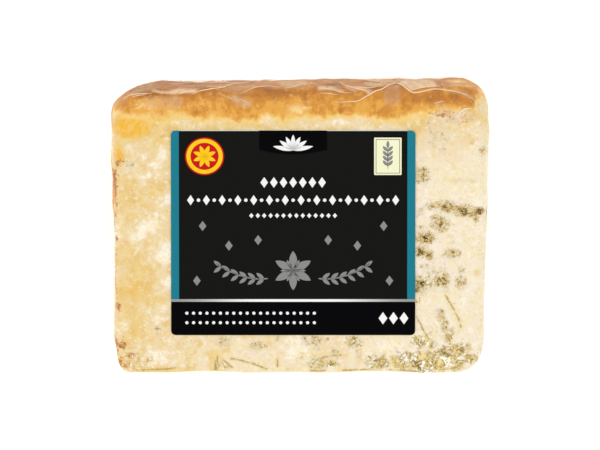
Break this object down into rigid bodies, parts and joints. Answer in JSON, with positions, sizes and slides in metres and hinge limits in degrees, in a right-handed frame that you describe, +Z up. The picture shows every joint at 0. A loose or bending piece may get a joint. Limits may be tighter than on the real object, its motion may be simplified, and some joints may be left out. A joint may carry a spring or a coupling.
{
  "type": "stilton wedge",
  "caption": "Wedge of blue-veined cheese with a curved brown rind, wrapped tight in clear film, with a rectangular paper label on its upper cut face.",
  "frame": {"origin": "middle of the box round the wedge, on the cut face that it rests on", "axes": "+X along the cheese wheel's axis, from its crusted end to the fresh cut across it; +Y outwards from the wedge's thin edge to the rind; +Z up"},
  "size_m": [0.1304, 0.1016, 0.0613],
  "materials": {
    "wrapped_cheese": "clear film drawn tight over pale, blue-veined cheese and its brown rind",
    "label_print": "satin printed paper, mostly near black"
  },
  "bodies": {
    "root": {"wrapped_wedge": "wrapped_cheese", "label": "label_print"}
  },
  "joints": []
}
